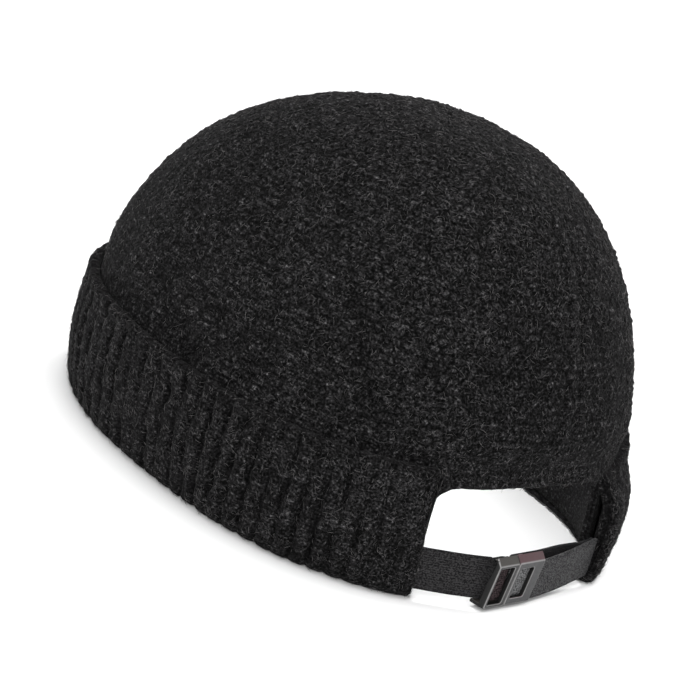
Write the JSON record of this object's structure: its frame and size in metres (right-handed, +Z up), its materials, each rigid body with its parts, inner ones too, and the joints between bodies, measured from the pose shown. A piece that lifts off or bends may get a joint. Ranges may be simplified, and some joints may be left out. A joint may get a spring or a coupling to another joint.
{
  "type": "brimless knit docker cap",
  "caption": "Brimless fine-knit dome cap with a rib-knit turn-up cuff, open at the back over a webbing strap with a clip buckle that sets its size.",
  "frame": {"origin": "middle of the cap's bounding box, on the plane that the cuff's fold rests on", "axes": "+Z up, -Y the cap's front, +Y the open back with the strap, +X the wearer's left"},
  "size_m": [0.1786, 0.2196, 0.1405],
  "materials": {
    "knit_crown": "fuzzy charcoal moss-stitch knit",
    "knit_cuff": "fuzzy charcoal rib knit",
    "webbing": "dark grey woven webbing",
    "buckle_plastic": "black satin moulding"
  },
  "bodies": {
    "root": {"crown": "knit_crown", "cuff": "knit_cuff", "strap_left": "webbing", "strap_right": "webbing", "buckle_left": "buckle_plastic", "buckle_right": "buckle_plastic"}
  },
  "joints": []
}
